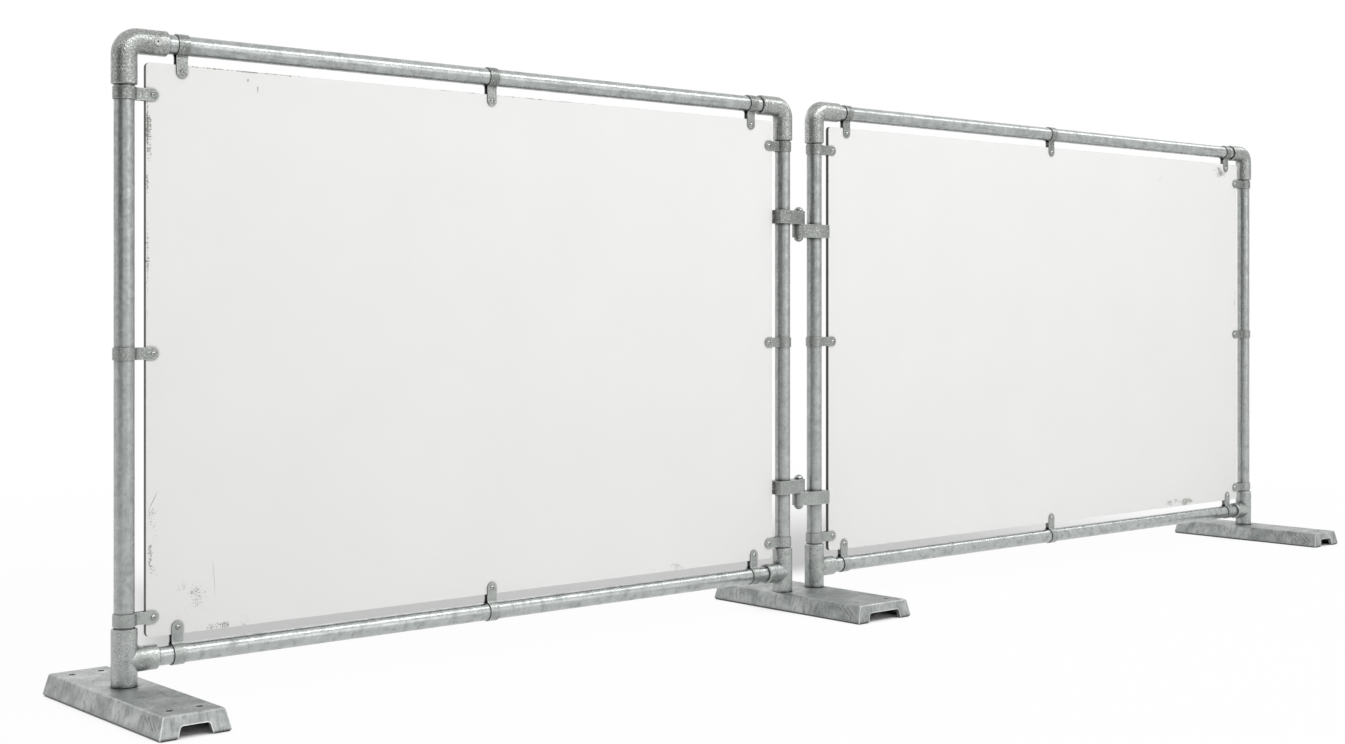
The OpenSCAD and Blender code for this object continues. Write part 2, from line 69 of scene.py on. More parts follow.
# %% [markdown]
# ## Writing colours and nodes
# Paint and metal colours are easiest to write as the hex values that a colour chart gives, but
# Blender mixes light in linear values, so one function turns one into the other. A second
# function adds any node: its settings, and for each input a value or the output that feeds it.
# It hands back the output that is wanted, so that one call can feed the next.

# %% Colour and node helpers
PURE_WHITE = (1, 1, 1, 1)


def linear(chart):
    """An sRGB hex colour such as #a9aeae as linear red, green, blue and a full alpha."""
    parts = [int(chart[i:i + 2], 16) / 255 for i in (1, 3, 5)]
    return [c / 12.92 if c <= 0.04045 else ((c + 0.055) / 1.055) ** 2.4 for c in parts] + [1.0]


def put(tree, kind, feeds=(), take=0, **settings):
    """Adds one node with its settings, and returns its first output or the one that take names.

    Feeds are what goes into its inputs, in their order or by number or name: each is a value or
    another node's output.
    """
    node = tree.nodes.new("ShaderNode" + kind)
    for name, value in settings.items():
        setattr(node, name, value)
    for name, value in feeds.items() if isinstance(feeds, dict) else enumerate(feeds):
        if isinstance(value, bpy.types.NodeSocket):
            tree.links.new(value, node.inputs[name])
        else:
            node.inputs[name].default_value = value
    return node.outputs[take] if node.outputs else node


def per_metre(size_mm):
    """How many things of this size, in millimetres, fit in a metre: the scale of a pattern."""
    return 1000 / size_mm


print("zinc grey in linear light:", [round(c, 3) for c in linear("#a9aeae")])

# %% [markdown]
# ## The studio world
# The fence stands in a white room. What the eye and the metal see of it is plain white, and what
# falls on matt surfaces as fill light is a good deal weaker, so that the lamps shape the pieces.

# %% World
FILL = 0.63  # the light that falls on matt surfaces, where the white that the eye sees is 1


def seen_directly(tree):
    """1 for light that the eye, a mirror or a glass asks for, 0 for what falls on matt surfaces."""
    rays = put(tree, "LightPath").node.outputs
    direct = rays["Is Camera Ray"]
    for kind_of_ray in ("Is Glossy Ray", "Is Transmission Ray"):
        direct = put(tree, "Math", (direct, rays[kind_of_ray]), operation="MAXIMUM")
    return direct


world = bpy.data.worlds.new("white_room")
bpy.context.scene.world = world
world.use_nodes = True
room = world.node_tree
room.nodes.clear()
fill = put(room, "Background", {"Color": PURE_WHITE, "Strength": FILL})
white = put(room, "Background", {"Color": PURE_WHITE, "Strength": 1.0})
put(room, "OutputWorld", {"Surface": put(room, "MixShader", (seen_directly(room), fill, white))})
bpy.context.scene.view_settings.view_transform = "Standard"
print("world nodes:", len(room.nodes))

# %% [markdown]
# ## The floor's paint
# A studio floor is painted white and rolled out far past the fence, so that no edge shows. Its
# paint is part matt, which catches the fence's shadow, and part glowing white for the eye and for
# reflections. It is matt in a patch just behind the near bay, where the light from the front
# throws the shadow, and close in under the feet, where it darkens as in life. It turns all white
# away from there, so that the floor runs into the room.

# %% Floor paint
# The edges of the matt patch: which way is out, and where it starts to fade and has gone, in m
PATCH_EDGES = (((0, -1, 0), -0.72, -0.45), ((0, 1, 0), 1.05, 2.5),
               ((-1, 0.452, 0), 2.33, 2.53), ((1, -0.4, 0), 0.9, 3.2))
NEARLY_GLOWING, GLOW_STARTS, ALL_GLOWING = 0.96, 3.0, 6.0  # a share, and m from the middle
COVER_REACH, COVERED, OPEN = 0.15, 0.2, 0.65  # m, and shares of open sky above the floor


def new_finish(name):
    """An empty material: returns it, its node tree and the piece's own coordinates."""
    finish = bpy.data.materials.new(name)
    finish.use_nodes = True
    finish.node_tree.nodes.clear()
    return finish, finish.node_tree, put(finish.node_tree, "TexCoord", take="Object")


floor_paint, tree, place = new_finish("white_studio_floor")
outside = 0.0
for way_out, start, end in PATCH_EDGES:
    run = put(tree, "VectorMath", (place, way_out), "Value", operation="DOT_PRODUCT")
    past_edge = put(tree, "MapRange", (run, start, end), interpolation_type="SMOOTHSTEP")
    outside = put(tree, "Math", (outside, past_edge), operation="MAXIMUM")
from_middle = put(tree, "VectorMath", (place,), "Value", operation="LENGTH")
around = put(tree, "MapRange", (from_middle, GLOW_STARTS, ALL_GLOWING, NEARLY_GLOWING))
sky = put(tree, "AmbientOcclusion", {"Distance": COVER_REACH}, "AO", samples=8)
open_above = put(tree, "MapRange", (sky, COVERED, OPEN))
glow_share = outside
for share in (around, open_above, seen_directly(tree)):
    glow_share = put(tree, "Math", (glow_share, share), operation="MULTIPLY")
matt = put(tree, "BsdfDiffuse", {"Color": linear("#ebebeb")})
glow = put(tree, "Emission", {"Color": PURE_WHITE, "Strength": 1.0})
put(tree, "OutputMaterial", {"Surface": put(tree, "MixShader", (glow_share, matt, glow))})
print("floor paint nodes:", len(tree.nodes))

# %% [markdown]
# ## The floor itself
# The floor is one flat round sheet. It lies less than half a millimetre under the feet, so that
# the two surfaces don't fight for the same place.

# %% Floor
FLOOR_RADIUS, UNDER_FEET = 60, 0.0004


def piece_of(name, shape, finish):
    """Turns a bmesh into a piece of this name in the scene, with its finish on it."""
    mesh = bpy.data.meshes.new(name)
    shape.to_mesh(mesh)
    shape.free()
    mesh.materials.append(finish)
    piece = bpy.data.objects.new(name, mesh)
    bpy.context.scene.collection.objects.link(piece)
    return piece


sheet = bmesh.new()
bmesh.ops.create_circle(sheet, cap_ends=True, segments=64, radius=FLOOR_RADIUS)
bmesh.ops.translate(sheet, verts=sheet.verts, vec=(0, 0, -UNDER_FEET))
floor = piece_of("studio_floor", sheet, floor_paint)
print("floor across, m:", floor.dimensions.x)

# %% [markdown]
# ## The lamps
# Four soft boxes light the fence. Two long ones hang overhead in one slanting line and draw the
# bright line along the rails, the one over the near bay brighter than the far one. One far in
# front lights the boards and draws the line down each post, and a weak one behind keeps the backs
# of the boards from going dull. Each is given by how bright its face is, because that is what a
# metal surface mirrors; its power follows from its area.

# %% Lamps
def softbox(name, width, height, place, aim, brightness):
    """A rectangular lamp turned from its place to its aim; at brightness 1 it is as the room."""
    lamp = bpy.data.lights.new(name, "AREA")
    lamp.shape = "RECTANGLE"
    lamp.size, lamp.size_y = width, height
    lamp.energy = brightness * math.pi * width * height
    holder = bpy.data.objects.new(name, lamp)
    holder.location = place
    holder.rotation_euler = (Vector(aim) - Vector(place)).to_track_quat("-Z", "Y").to_euler()
    holder.visible_camera = False
    bpy.context.scene.collection.objects.link(holder)
    print(name, "watts:", round(lamp.energy))


softbox("overhead_box_near", 7.1, 0.9, (-0.8, -3.26, 4.15), (-1.6, -1.26, 0.9), 4.9)
softbox("overhead_box_far", 5.3, 0.9, (5.05, -0.96, 4.15), (4.25, 1.04, 0.9), 2.7)
softbox("front_box", 8.0, 5.0, (3.8, -11.3, 3.0), (0, 0, 0.9), 0.95)
softbox("rear_box", 7.0, 2.5, (0, 5.0, 3.2), (0, 0, 0.8), 0.5)

# %% [markdown]
# ## The dark card
# Round metal in an all-white room looks flat. So a studio stands a black card off to one side,
# and its reflection draws a dark line down every post. This one stands far to the left and in
# front, and its felt is sprayed paler towards the ends, so that the line has soft sides.

# %% Dark card felt
CARD_MIDDLE, CARD_WIDE, CARD_TALL = (-26.0, -11.0, 7.0), 42.0, 14.0
CARD_TURN = math.radians(112)
CARD_ALL_DARK = 6.0  # m to each side of its middle

card_felt, tree, place = new_finish("dark_card_felt")
on_card = put(tree, "Mapping", {"Vector": place, "Location": CARD_MIDDLE,
                                "Rotation": (0, 0, CARD_TURN)}, vector_type="TEXTURE")
off_middle = put(tree, "Math", (put(tree, "SeparateXYZ", (on_card,), "X"),), operation="ABSOLUTE")
paleness = put(tree, "MapRange", (off_middle, CARD_ALL_DARK, CARD_WIDE / 2),
               interpolation_type="SMOOTHSTEP")
spray = put(tree, "Mix", {0: paleness, 6: linear("#1c1e1f"), 7: PURE_WHITE}, 2, data_type="RGBA")
felt = put(tree, "Emission", {"Color": spray, "Strength": 1.0})
put(tree, "OutputMaterial", {"Surface": felt})
print("card felt nodes:", len(tree.nodes))

# %% [markdown]
# ## Standing the card up
# The card is one square, stretched to its size, stood upright and turned towards the fence. Only
# the metal sees it: it throws no shadow and takes no light away.

# %% Dark card
upright = Matrix.Rotation(math.radians(90), 3, "X")
turned = Matrix.Rotation(CARD_TURN, 3, "Z")
sheet = bmesh.new()
bmesh.ops.create_grid(sheet, x_segments=1, y_segments=1, size=0.5)
bmesh.ops.scale(sheet, verts=sheet.verts, vec=(CARD_WIDE, CARD_TALL, 1))
bmesh.ops.rotate(sheet, verts=sheet.verts, matrix=upright)
bmesh.ops.rotate(sheet, verts=sheet.verts, matrix=turned)
bmesh.ops.translate(sheet, verts=sheet.verts, vec=CARD_MIDDLE)
card = piece_of("dark_card", sheet, card_felt)
card.visible_camera = card.visible_diffuse = False
card.visible_shadow = card.visible_transmission = False
print("dark card, m:", [round(side, 1) for side in card.dimensions])

# %% [markdown]
# ## What all the zinc has in common
# Nearly every piece here is steel or iron dipped in molten zinc. The zinc freezes in patches a
# little paler or darker than each other, and its skin is never quite smooth. So each finish below
# is a base colour with coats laid over it one after another, each where a mottle, a streak or a
# corner puts it. The colour of a metal is the colour of its reflections.

# %% Coats, mottle and relief
def coated(tree, colour, *coats):
    """Lays coats over a colour in turn, each given by where it lies, 0 to 1, and its colour."""
    for where, coat in coats:
        colour = put(tree, "Mix", {0: where, 6: colour, 7: linear(coat)}, 2, data_type="RGBA")
    return colour


def mottle(tree, place, size_mm, detail, roughness, start, end, low=0.0, high=1.0):
    """Clouds of about this size: low where the noise is under the start, high past the end."""
    clouds = put(tree, "TexNoise", {"Vector": place, "Scale": per_metre(size_mm),
                                    "Detail": detail, "Roughness": roughness})
    return put(tree, "MapRange", (clouds, start, end, low, high))


def relief(tree, place, size_mm, depth_mm, strength, detail=2.0, roughness=0.5):
    """The fine unevenness of a skin, with lumps of this size and depth."""
    lumps = put(tree, "TexNoise", {"Vector": place, "Scale": per_metre(size_mm),
                                   "Detail": detail, "Roughness": roughness})
    return put(tree, "Bump", {"Height": lumps, "Strength": strength, "Distance": depth_mm / 1000})


def zinc_skin(tree, colour, roughness, uneven, metallic):
    """Zinc of this colour and dullness; what it lacks of a full metal is its film of oxide."""
    skin = put(tree, "BsdfPrincipled", {"Base Color": colour, "Metallic": metallic,
                                        "Roughness": roughness, "Normal": uneven})
    put(tree, "OutputMaterial", {"Surface": skin})


print("a 34 mm mottle repeats", round(per_metre(34), 1), "times in a metre")

# %% [markdown]
# ## Where zinc wears and weathers, with painted shade and light
# Grime stays where two pieces meet, and shade falls there too, so the dark laid there is painted
# shade as well as grime. Outward corners are rubbed bright, and their pale coat is partly wear and
# partly a painted highlight. Both can be found by asking how much of the sky, or of the inside, a
# point sees. Near the ground, splashes keep the zinc wet: it bleaches, and dark blotches are left
# in it; the paleness there is also a painted reflection of the white floor.

# %% Crevices, corners and splashes
WETTEST, DRY = 0.15, 1.1  # heights in m
BLOTCHES = "#7b7f7d"


def crevice_shade_and_grime(tree, reach_mm):
    """Painted shade and grime: 1 where another surface closes in within the reach, 0 in the open.
    """
    sky = put(tree, "AmbientOcclusion", {"Distance": reach_mm / 1000}, "AO", samples=8)
    return put(tree, "MapRange", (sky, 0.4, 0.96, 1.0, 0.0))


def corners(tree, reach_mm):
    """1 at an outward corner, 0 on a face further than the reach from any corner."""
    within = put(tree, "AmbientOcclusion", {"Distance": reach_mm / 1000}, "AO", samples=8,
                 inside=True)
    return put(tree, "MapRange", (within, 0.6, 0.95, 1.0, 0.0))


def splashed_and_floor_lit(tree, place, colour, share, bleached_and_floor_lit):
    """The colour made paler by this share near the ground, partly weathering and partly a painted
    reflection of the white floor, with dark blotches left in it.
    """
    height = put(tree, "SeparateXYZ", (place,), "Z")
    low_down = put(tree, "MapRange", (height, WETTEST, DRY, 1.0, 0.0))
    # The paleness near the ground is partly weathered zinc and partly a painted reflection of the
    # floor.
    bleach_and_floor_glow = put(tree, "Math", (low_down, share), operation="MULTIPLY")
    blotches = mottle(tree, place, 30, 5, 0.62, 0.5, 0.68)
    left = put(tree, "Math", (low_down, 0.6), operation="MULTIPLY")
    left = put(tree, "Math", (blotches, left), operation="MULTIPLY")
    return coated(tree, colour, (bleach_and_floor_glow, bleached_and_floor_lit), (left, BLOTCHES))


print("zinc is bleached below", DRY, "m")

# %% [markdown]
# ## Hot-dip galvanised tube
# Scaffold tube is drawn steel, pulled up out of the zinc bath by one end, so the zinc runs along
# it in faint streaks before it freezes in crystals of up to a centimetre. The eye sees a soft
# grey mottle, long streaks, and a shine that is smooth in some places and dull in others.

# %% Galvanised tube
def galvanised_tube(name, stretch, dark, pale, smoothest):
    """Zinc on drawn tube; stretch squeezes the streaks' coordinates along the tube."""
    finish, tree, place = new_finish(name)
    along = put(tree, "Mapping", {"Vector": place, "Scale": stretch})
    patches = mottle(tree, place, 34, 4, 0.6, 0.34, 0.66)
    streaks = mottle(tree, along, 7, 3, 0.55, 0.5, 0.75, 0, 0.6)
    crystals = put(tree, "TexVoronoi", {"Vector": place, "Scale": per_metre(8)}, "Color")
    one_shade = put(tree, "SeparateColor", (crystals,))
    frosted = put(tree, "MapRange", (one_shade, 0.2, 1.0, 0, 0.3))
    stains = mottle(tree, along, 22, 5, 0.65, 0.6, 0.74, 0, 0.6)
    colour = coated(tree, linear(dark), (patches, pale), (streaks, "#777b79"),
                    (frosted, "#cbcecc"), (stains, "#6c706e"))
    # Paler near the ground: partly weathering, partly a painted reflection of the floor.
    colour = splashed_and_floor_lit(tree, place, colour, 0.45, "#babebc")
    # Painted shade and grime where a clip, fitting or board closes in on the tube.
    colour = coated(tree, colour, (crevice_shade_and_grime(tree, 14), "#343635"))
    shine = put(tree, "MapRange", (patches, 0, 1, smoothest + 0.12, smoothest))
    zinc_skin(tree, colour, shine, relief(tree, place, 4, 1.0, 0.3), 0.92)
    return finish


# The level copy is painted paler than the upright one: painted light and shade for the overhead
# lamps, which brighten the rails more than the posts. Their streaks also run different ways.
upright_tube_painted_darker = galvanised_tube("galvanised_tube_upright_painted_darker", (1, 1, 0.08), "#8f9392", "#a3a7a6", 0.26)
level_tube_painted_lighter = galvanised_tube("galvanised_tube_level_painted_lighter", (0.08, 1, 1), "#979b9a", "#b4b8b7", 0.22)
print("tube finishes:", upright_tube_painted_darker.name, level_tube_painted_lighter.name)

# %% [markdown]
# ## Galvanised castings, strip and fasteners
# The elbows, tees and links are malleable iron cast in sand. The sand's grain stays in the skin
# under the zinc, so the metal is lumpy on the scale of a few millimetres and glitters where a
# lump happens to face a lamp. The clips are bent from strip and dipped, with a thinner and duller
# skin. The screws, nuts and pins are plated, which is smoother and brighter. One function makes
# all four, with lumps a little coarser than the real grain of one to three millimetres, so that
# they can be told from where the eye stands.

# %% Galvanised castings
def galvanised_casting(name, dark, pale, grain_mm, depth_mm, roughness):
    """Zinc on rough iron, with lumps of the given size and depth."""
    finish, tree, place = new_finish(name)
    patches = mottle(tree, place, 45, 4, 0.6, 0.3, 0.7)
    speckle = put(tree, "TexNoise", {"Vector": place, "Scale": per_metre(4.5), "Detail": 2,
                                     "Roughness": 0.6})
    pits = put(tree, "MapRange", (speckle, 0.52, 0.68, 0, 0.7))
    # Painted glints: pale flecks in the colour that stand in for the sparkle of lumps facing a
    # lamp.
    painted_glints = put(tree, "MapRange", (speckle, 0.42, 0.3, 0, 0.7))
    colour = coated(tree, linear(dark), (patches, pale), (pits, "#5c5f5c"), (painted_glints, "#dadcda"))
    # Paler near the ground: partly weathering, partly a painted reflection of the floor.
    colour = splashed_and_floor_lit(tree, place, colour, 0.5, "#b6bab8")
    # Pale coat on outward corners: partly rubbed wear, partly a painted highlight.
    rubbed_and_highlit_corners = put(tree, "Math", (corners(tree, 2), 0.5), operation="MULTIPLY")
    # The dark coat where another piece closes in is painted shade as well as grime.
    colour = coated(tree, colour, (crevice_shade_and_grime(tree, 12), "#2e302f"), (rubbed_and_highlit_corners, "#d6d9d7"))
    shine = put(tree, "MapRange", (patches, 0, 1, roughness + 0.06, roughness - 0.04))
    zinc_skin(tree, colour, shine, relief(tree, place, grain_mm, depth_mm, 0.7, 3, 0.6), 0.9)
    return finish


fitting = galvanised_casting("galvanised_fitting_casting", "#929592", "#aaadaa", 4.2, 1.4, 0.25)
link_iron = galvanised_casting("galvanised_link_casting", "#7c7f7c", "#959895", 5, 1.6, 0.34)
strip = galvanised_casting("galvanised_clip_strip", "#787b78", "#999c99", 6, 1.0, 0.32)
plated = galvanised_casting("zinc_plated_fastener", "#8d908d", "#b8bab8", 4, 0.4, 0.2)
print("casting finishes:", fitting.name, link_iron.name, strip.name, plated.name)

# %% [markdown]
# ## Scratches on the feet
# Feet are slid into line and kicked, so their front corners are scored and their tops scuffed.
# A noise would put such marks everywhere. Here each one is a stroke of its own: a long thin
# ellipsoid laid in the skin, which marks what lies inside it.

# %% Scratches on the feet
FOOT_TOP = 0.054
SIDE_IN = 0.008  # m; the sides slope, and lie this far in where the strokes are
SIDE_WIDTH, TOP_WIDTH, STROKE_DEPTH = 2.4, 3.0, 0.02  # mm, mm, and m into the skin
SCUFF = 0.7  # how dark a stroke on the top is beside one on the side
# Back from the front end and up from the ground in mm, slope in degrees, length in mm
SIDE_STROKES = ((52, 27, 34, 62), (38, 30, 38, 50), (84, 36, 26, 40))
# Share of the way across, back from the front end in mm, turn in degrees, length in mm
TOP_STROKES = ((0.3, 470, 60, 70), (0.42, 490, 25, 50), (0.34, 440, 110, 60),
               (0.7, 240, 80, 110), (0.55, 150, 100, 90))


def scratch(tree, place, at, turn, length_mm, width_mm):
    """1 along one scratch through a point, turned by three angles in degrees, and 0 off it."""
    half_size = (length_mm / 2000, width_mm / 2000, STROKE_DEPTH)
    inside = put(tree, "Mapping", {"Vector": place, "Location": at, "Scale": half_size,
                                   "Rotation": [math.radians(angle) for angle in turn]},
                 vector_type="TEXTURE")
    off = put(tree, "VectorMath", (inside,), "Value", operation="LENGTH")
    return put(tree, "MapRange", (off, 0.5, 1.0, 1.0, 0.0))


foot_iron, tree, place = new_finish("galvanised_foot_casting")
scratches = 0.0
for node in ("left_foot", "middle_foot", "right_foot"):
    low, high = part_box(node)
    for back, height, slope, length in SIDE_STROKES:
        at = (low[0] + SIDE_IN, low[1] + back / 1000, height / 1000)
        score = scratch(tree, place, at, (90, -slope, 90), length, SIDE_WIDTH)
        scratches = put(tree, "Math", (scratches, score), operation="MAXIMUM")
    for across, back, turn, length in TOP_STROKES:
        at = (low[0] + across * (high[0] - low[0]), low[1] + back / 1000, FOOT_TOP)
        scuff = scratch(tree, place, at, (0, 0, turn), length, TOP_WIDTH)
        scuff = put(tree, "Math", (scuff, SCUFF), operation="MULTIPLY")
        scratches = put(tree, "Math", (scratches, scuff), operation="MAXIMUM")
print("strokes on each foot:", len(SIDE_STROKES) + len(TOP_STROKES))

# %% [markdown]
# ## The feet
# A foot is one heavy casting, smoother than the fittings, because its big faces are fettled
# before it is dipped. The eye sees broad pale and dark patches, runs where the zinc flowed down
# the sides, darker spots, bright edges that are partly rubbed and partly a painted highlight,
# painted shade where other pieces close in, and the scratches, which are shallow grooves.

# %% Galvanised foot
patches = mottle(tree, place, 60, 5, 0.62, 0.34, 0.66)
downwards = put(tree, "Mapping", {"Vector": place, "Scale": (1, 1, 0.15)})
runs = mottle(tree, downwards, 9, 4, 0.6, 0.5, 0.7, 0, 0.65)
spots = mottle(tree, place, 14, 5, 0.7, 0.58, 0.68, 0, 0.7)
# The edge mask gives a pale coat, partly rubbed wear and partly a painted highlight, and a smoother
# shine.
worn_and_highlit_edge = corners(tree, 4)
edge_wear_and_painted_highlight = put(tree, "Math", (worn_and_highlit_edge, 0.8), operation="MULTIPLY")
# The darkest coat, where another surface closes in, is painted shade as well as grime.
colour = coated(tree, linear("#8b8f8d"), (patches, "#babdbc"), (runs, "#6f7371"),
                (spots, "#5f6361"), (scratches, "#4b4e4c"), (crevice_shade_and_grime(tree, 16), "#454746"),
                (edge_wear_and_painted_highlight, "#dde0de"))
uneven = relief(tree, place, 6, 0.8, 0.5, 3, 0.6)
grooved = put(tree, "Bump", {"Height": scratches, "Strength": 0.5, "Distance": 0.0006,
                             "Normal": uneven}, invert=True)
zinc_skin(tree, colour, put(tree, "MapRange", (worn_and_highlit_edge, 0, 1, 0.42, 0.25)), grooved, 0.9)
print("foot finish:", foot_iron.name, "with", len(tree.nodes), "nodes")

# %% [markdown]
# ## Wear on the boards
# The boards are handled at their edges and knocked at their corners. The wear lies in soft spots,
# each given from the middle of the board, and the strongest of them counts at each point. Two
# long scratches on the left board are strokes like those on the feet.

# %% Wear on the boards
# x and z from the board's middle, half width and half height, all in m, and strength
LEFT_WEAR = ((-1.044, 0.53, 0.007, 0.13, 0.42), (-1.039, 0.52, 0.012, 0.13, 0.32),
             (-1.044, 0.4, 0.008, 0.05, 0.44), (-1.044, 0.2, 0.008, 0.25, 0.32),
             (-0.973, 0.0, 0.014, 0.2, 0.16), (-1.03, -0.45, 0.03, 0.2, 0.26),
             (-0.84, -0.69, 0.16, 0.05, 0.26), (-0.778, 0.668, 0.004, 0.013, 0.42),
             (-0.751, 0.646, 0.003, 0.022, 0.42), (0.69, -0.68, 0.3, 0.03, 0.24),
             (-0.78, 0.69, 0.3, 0.006, 0.46), (0.1, 0.69, 0.8, 0.005, 0.36),
             (-1.037, -0.49, 0.012, 0.055, 0.42), (-0.85, -0.682, 0.07, 0.018, 0.38),
             (-0.924, -0.588, 0.03, 0.03, 0.27), (-0.93, -0.6, 0.13, 0.11, 0.22))
RIGHT_WEAR = ((1.08, 0.655, 0.09, 0.045, 0.36), (0.66, 0.61, 0.03, 0.03, 0.24),
              (0.8, -0.675, 0.25, 0.035, 0.33), (1.2, 0.13, 0.02, 0.08, 0.32))
# x and z from the board's middle in m, slope in degrees, length in mm, and strength
LEFT_STROKES = ((-1.0295, -0.3625, 62, 62, 0.75), (-0.87, -0.563, 94, 112, 0.4))
ANY_DEPTH = 10  # m, so that a spot goes right through the board


def rubbed(tree, from_middle, spots):
    """The strongest of several soft spots at each point."""
    strongest = 0.0
    for x, z, wide, tall, strength in spots:
        spot = put(tree, "Mapping", {"Vector": from_middle, "Location": (x, 0, z),
                                     "Scale": (wide, ANY_DEPTH, tall)}, vector_type="TEXTURE")
        away = put(tree, "VectorMath", (spot,), "Value", operation="LENGTH")
        here = put(tree, "MapRange", (away, 0.3, 1.0, strength, 0.0))
        strongest = put(tree, "Math", (strongest, here), operation="MAXIMUM")
    return strongest


def to_rim(tree, from_middle, half_wide, half_tall):
    """How far a point is from the nearest edge of its board, in metres."""
    apart = put(tree, "VectorMath", (from_middle,), operation="ABSOLUTE")
    sides = put(tree, "SeparateXYZ", (apart,)).node.outputs
    to_side = put(tree, "Math", (half_wide, sides["X"]), operation="SUBTRACT")
    to_end = put(tree, "Math", (half_tall, sides["Z"]), operation="SUBTRACT")
    return put(tree, "Math", (to_side, to_end), operation="MINIMUM")


print("worn spots:", len(LEFT_WEAR), "on the left board,", len(RIGHT_WEAR), "on the right one")

# %% [markdown]
# ## Chips in white-faced plywood
# The boards are birch plywood with a hard white phenolic film on both faces. Where the film is
# worn it chips, and grimy wood shows through. A chip starts where a fine grain, the wear and a
# slow clumping together come over a limit. The grain is drawn at 4 mm, coarser than real chips of
# one or two, so that it shows.

# %% Chips
GRIMY_WOOD = "#6a6862"
CHIPS_START, CHIPPED, MOST = 0.8, 0.88, 0.85  # of the summed roughness, and the strongest chip
RIM_WIDTH, RIM_WEAR = 0.008, 0.2  # m, and strength


def chips_in(tree, place, worn):
    """0 on sound film and up to nearly 1 in a chip."""
    rough = put(tree, "TexNoise", {"Vector": place, "Scale": per_metre(4), "Detail": 3,
                                   "Roughness": 0.7})
    drawn_out = put(tree, "Mapping", {"Vector": place, "Scale": (1, 1, 0.12)})
    upright_marks = mottle(tree, drawn_out, 4, 2, 0.5, 0.66, 0.72, 0, 0.14)
    clumps = mottle(tree, place, 40, 3, 0.5, 0.35, 0.65, -0.16, 0.05)
    for part in (upright_marks, worn, clumps):
        rough = put(tree, "Math", (rough, part), operation="ADD")
    chips = put(tree, "MapRange", (rough, CHIPS_START, CHIPPED, 0, MOST))
    only_worn = put(tree, "MapRange", (worn, 0.0, 0.05))
    return put(tree, "Math", (chips, only_worn), operation="MULTIPLY")


print("chips start at", CHIPS_START)

# %% [markdown]
# ## The film
# The film is pressed on hot from paper soaked in resin, so it is satin and very even, with only a
# faint cloudiness. The boards are cut to size and their edges sealed with dark paint, which is
# laid here wherever the surface faces neither front nor back.

# %% Board film
def board_film(name, node, spots, strokes):
    """White film for the board in this node, with dark edges, worn along its rim and at spots."""
    finish, tree, place = new_finish(name)
    low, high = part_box(node)
    middle = [(a + b) / 2 for a, b in zip(low, high)]
    from_middle = put(tree, "Mapping", {"Vector": place, "Location": middle},
                      vector_type="TEXTURE")
    inwards = to_rim(tree, from_middle, high[0] - middle[0], high[2] - middle[2])
    rim = put(tree, "MapRange", (inwards, 0.0, RIM_WIDTH, RIM_WEAR, 0.0))
    worn = put(tree, "Math", (rubbed(tree, from_middle, spots), rim), operation="MAXIMUM")
    chips = chips_in(tree, place, worn)

    cloudy = put(tree, "TexNoise", {"Vector": place, "Scale": per_metre(300), "Detail": 3,
                                    "Roughness": 0.5})
    colour = coated(tree, linear("#e7e7e5"), (cloudy, "#ececea"))
    for x, z, slope, length, strength in strokes:
        line = scratch(tree, from_middle, (x, 0, z), (90, -slope, 0), length, SIDE_WIDTH)
        line = put(tree, "Math", (line, strength), operation="MULTIPLY")
        colour = coated(tree, colour, (line, GRIMY_WOOD))
    outward = put(tree, "TexCoord", take="Normal")
    facing = put(tree, "Math", (put(tree, "SeparateXYZ", (outward,), "Y"),), operation="ABSOLUTE")
    on_edge = put(tree, "MapRange", (facing, 0.5, 0.9, 1.0, 0.0))
    # The coat where a clip or rail closes in on the film is painted shade as well as grime.
    colour = coated(tree, colour, (chips, GRIMY_WOOD), (crevice_shade_and_grime(tree, 7), "#686763"),
                    (on_edge, "#4b4a47"))

    satin = put(tree, "MapRange", (chips, 0, 1, 0.42, 0.8))
    skin = put(tree, "BsdfPrincipled", {"Base Color": colour, "Roughness": satin,
                                        "Normal": relief(tree, place, 5, 0.3, 0.08)})
    put(tree, "OutputMaterial", {"Surface": skin})
    print(name, "for a board of", [round(b - a, 3) for a, b in zip(low, high)], "m")
    return finish


left_film = board_film("white_phenolic_film_left", "left_board", LEFT_WEAR, LEFT_STROKES)
right_film = board_film("white_phenolic_film_right", "right_board", RIGHT_WEAR, ())

# %% [markdown]
# ## Rounding the edges
# The castings and the fasteners have their chamfers and domes already. The feet, links, clips and
# boards still have knife-sharp edges, and a narrow bevel lets these catch the light. The CAD mesh
# comes as loose triangles, so they are welded and the flat ones joined first. After the bevel the
# shading is weighted towards the large faces, which keeps these flat.

# %% Rounded edges
SAME_POINT = 0.00001  # m
SAME_PLANE, SHARP = math.radians(0.5), math.radians(35)


def round_edges(piece, width_mm):
    """Rounds the piece's sharp edges by the given width."""
    weld = piece.modifiers.new("weld", "WELD")
    weld.merge_threshold = SAME_POINT
    join = piece.modifiers.new("join_flat_triangles", "DECIMATE")
    join.decimate_type = "DISSOLVE"
    join.angle_limit = SAME_PLANE
    bevel = piece.modifiers.new("rounded_edges", "BEVEL")
    bevel.width = width_mm / 1000
    bevel.segments = 3
    bevel.limit_method = "ANGLE"
    bevel.angle_limit = SHARP
    shade = piece.modifiers.new("flat_faces_stay_flat", "WEIGHTED_NORMAL")
    shade.keep_sharp = True


print("edges sharper than", round(math.degrees(SHARP)), "degrees are rounded")

# %% [markdown]
# ## Dressing the pieces
# Each CAD piece keeps its mesh and takes the finish of what it is made of. The end of a piece's
# name says what it is, so a short table serves both bays.

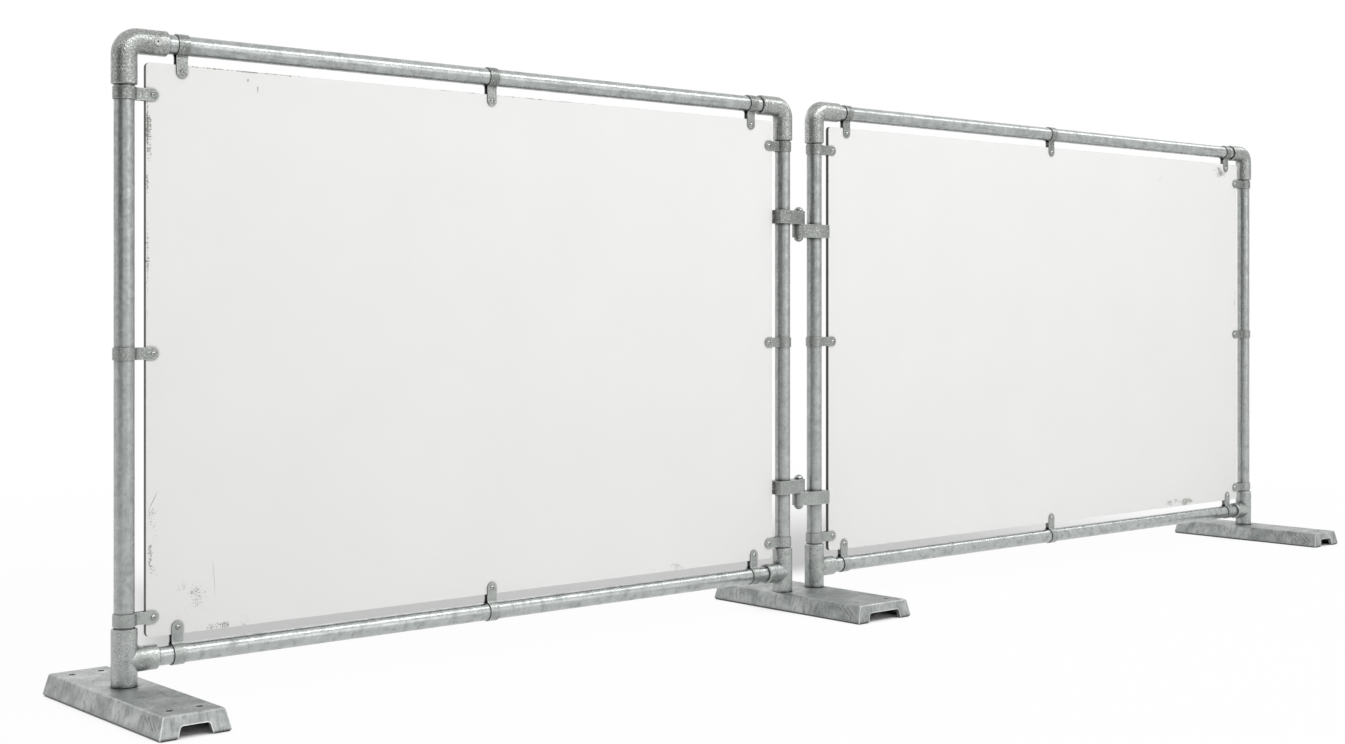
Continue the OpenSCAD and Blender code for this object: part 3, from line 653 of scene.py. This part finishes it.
# %% Dress the CAD pieces
# The end of a name: its finish, and the rounding of its edges in mm
finishes = {"left_board": (left_film, 0.6), "right_board": (right_film, 0.6),
            "post": (upright_tube_painted_darker, 0), "rail": (level_tube_painted_lighter, 0), "elbow": (fitting, 0),
            "tee": (fitting, 0), "link": (link_iron, 2.0), "foot": (foot_iron, 3.0),
            "clips": (strip, 0.6), "screws": (plated, 0), "nuts": (plated, 0), "pin": (plated, 0)}
for name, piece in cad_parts.items():
    ending = next(ending for ending in finishes if name.endswith(ending))
    finish, width_mm = finishes[ending]
    for material_slot in piece.material_slots:
        material_slot.material = finish
    if width_mm:
        round_edges(piece, width_mm)
    print(name, "->", finish.name)

# %% [markdown]
# ## Finding the screws' ends
# A clip's screw is rolled with a thread, and three millimetres of it stand out behind each nut.
# The CAD model has the screws of a bay as one plain piece. Their ends are found from its points:
# those that lie together in x and z belong to one screw.

# %% Ends of the screws
ONE_SCREW = 0.03  # m; two screws are further apart than this


def screw_ends(node):
    """Where the rear end of each screw in a node has its middle: x, y and z."""
    ends = []
    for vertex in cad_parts[node].data.vertices:
        x, y, z = vertex.co
        near = next((end for end in ends
                     if math.hypot(end["x"][0] - x, end["z"][0] - z) < ONE_SCREW), None)
        if near is None:
            near = {"x": [], "z": [], "y": y}
            ends.append(near)
        near["x"].append(x)
        near["z"].append(z)
        near["y"] = max(near["y"], y)
    return [((min(end["x"]) + max(end["x"])) / 2, end["y"], (min(end["z"]) + max(end["z"])) / 2)
            for end in ends]


print("screws in the left bay:", len(screw_ends("left_clip_screws")))

# %% [markdown]
# ## The threads
# A small three-sided ridge swept round the screw along a helix makes the thread, as a die rolls
# it. Its pitch is 1.5 mm, a little coarser than a real 1.25 mm thread, so that it can be told
# from a distance.

# %% Threads behind the nuts
PITCH, RIDGE, SCREW_RADIUS, BARE_LENGTH = 0.0015, 0.0004, 0.004, 0.003
STEPS = 32  # to a turn
DOUBLES = 0.000001


def threads(name, node):
    """One piece with the thread of every screw in the node."""
    rib = bmesh.new()
    ends = screw_ends(node)
    inner, crest = SCREW_RADIUS - RIDGE, SCREW_RADIUS + RIDGE
    turns = (BARE_LENGTH - PITCH) / PITCH
    for x, y, z in ends:
        start = y - BARE_LENGTH
        ridge = [rib.verts.new((x + out, start + up, z))
                 for out, up in ((inner, 0), (crest, PITCH / 2), (inner, PITCH))]
        bmesh.ops.spin(rib, geom=[rib.faces.new(ridge)], cent=(x, y, z), axis=(0, 1, 0),
                       steps=round(STEPS * turns), angle=2 * math.pi * turns,
                       dvec=(0, PITCH / STEPS, 0), use_merge=False)
    bmesh.ops.remove_doubles(rib, verts=rib.verts, dist=DOUBLES)
    bmesh.ops.recalc_face_normals(rib, faces=rib.faces)
    open_edges = sum(len(edge.link_faces) != 2 for edge in rib.edges)
    piece = piece_of(name, rib, plated)
    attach(piece, "root")
    print(name, "screws:", len(ends), "open edges:", open_edges)


threads("left_clip_threads", "left_clip_screws")
threads("right_clip_threads", "right_clip_screws")
